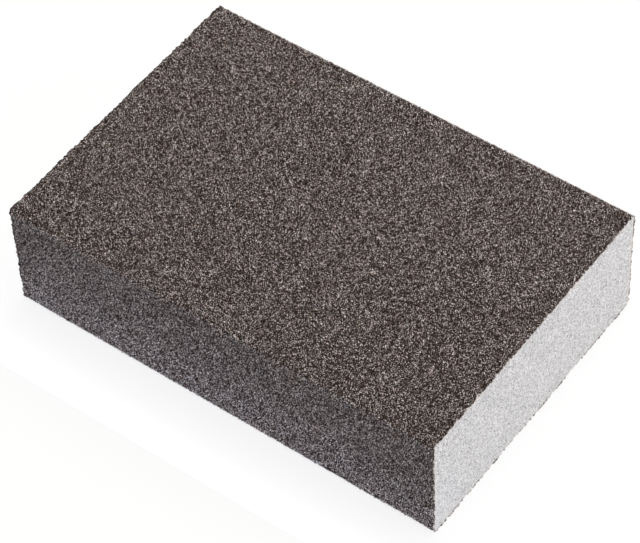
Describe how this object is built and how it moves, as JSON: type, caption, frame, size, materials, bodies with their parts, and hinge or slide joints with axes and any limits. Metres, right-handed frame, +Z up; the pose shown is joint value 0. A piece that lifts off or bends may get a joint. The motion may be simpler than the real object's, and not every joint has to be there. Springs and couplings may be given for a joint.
{
  "type": "sanding sponge",
  "caption": "Rectangular foam hand-sanding block with bonded grit wrapped round its broad faces and long sides, and bare cut foam at its short ends.",
  "frame": {"origin": "middle of the coated broad face that the block rests on", "axes": "+X along the length, out of a bare foam end; +Y across the width, out of a coated long side; +Z up through the thickness, out of the other coated broad face"},
  "size_m": [0.1, 0.0676, 0.027],
  "materials": {
    "foam": "matte",
    "grit": "matte"
  },
  "bodies": {
    "root": {"foam_core": "foam", "abrasive_coat": "grit"}
  },
  "joints": []
}
